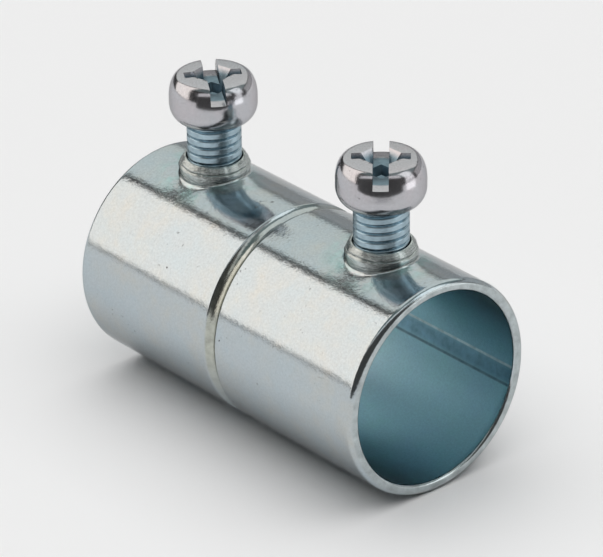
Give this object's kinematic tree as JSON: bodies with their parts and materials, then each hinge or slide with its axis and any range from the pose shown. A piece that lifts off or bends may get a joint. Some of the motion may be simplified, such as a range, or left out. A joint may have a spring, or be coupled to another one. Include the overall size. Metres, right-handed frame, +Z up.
{
  "type": "conduit set-screw coupling",
  "caption": "Short zinc-plated steel sleeve that joins lengths of thin-wall conduit end to end, with a rolled centre stop and set screws standing in drawn-up bosses.",
  "frame": {"origin": "on the bore axis at the middle of the sleeve, 0.2 mm in front of the middle of the rolled stop", "axes": "+X along the bore toward the front end, +Z up along the set screws, +Y across"},
  "size_m": [0.038, 0.0206, 0.0303],
  "materials": {
    "sleeve_zinc": "bright zinc plate with a hazy sheen and faint tints",
    "screw_zinc": "bright blue zinc plate, glossy"
  },
  "bodies": {
    "sleeve": {"sleeve": "sleeve_zinc"},
    "front_screw_advancing": {"front_screw_point": "screw_zinc"},
    "front_screw_turning": {"front_screw": "screw_zinc"},
    "rear_screw_advancing": {"rear_screw_point": "screw_zinc"},
    "rear_screw_turning": {"rear_screw": "screw_zinc"}
  },
  "joints": [
    {"name": "front_screw_advance", "type": "slide", "parent": "sleeve", "child": "front_screw_advancing", "axis": [0, 0, 1], "range_m": [-0.0032, 0.0016]},
    {"name": "front_screw_turn", "type": "hinge", "parent": "front_screw_advancing", "child": "front_screw_turning", "pos_m": [0.0115, 0, 0.0135], "axis": [0, 0, 1], "range_deg": [-1440, 720]},
    {"name": "rear_screw_advance", "type": "slide", "parent": "sleeve", "child": "rear_screw_advancing", "axis": [0, 0, 1], "range_m": [-0.0032, 0.0016]},
    {"name": "rear_screw_turn", "type": "hinge", "parent": "rear_screw_advancing", "child": "rear_screw_turning", "pos_m": [-0.0115, 0, 0.0135], "axis": [0, 0, 1], "range_deg": [-1440, 720]}
  ],
  "couplings": [
    {"joint": "front_screw_turn", "follows": "front_screw_advance", "rad_per_m": 7854},
    {"joint": "rear_screw_turn", "follows": "rear_screw_advance", "rad_per_m": 7854}
  ]
}
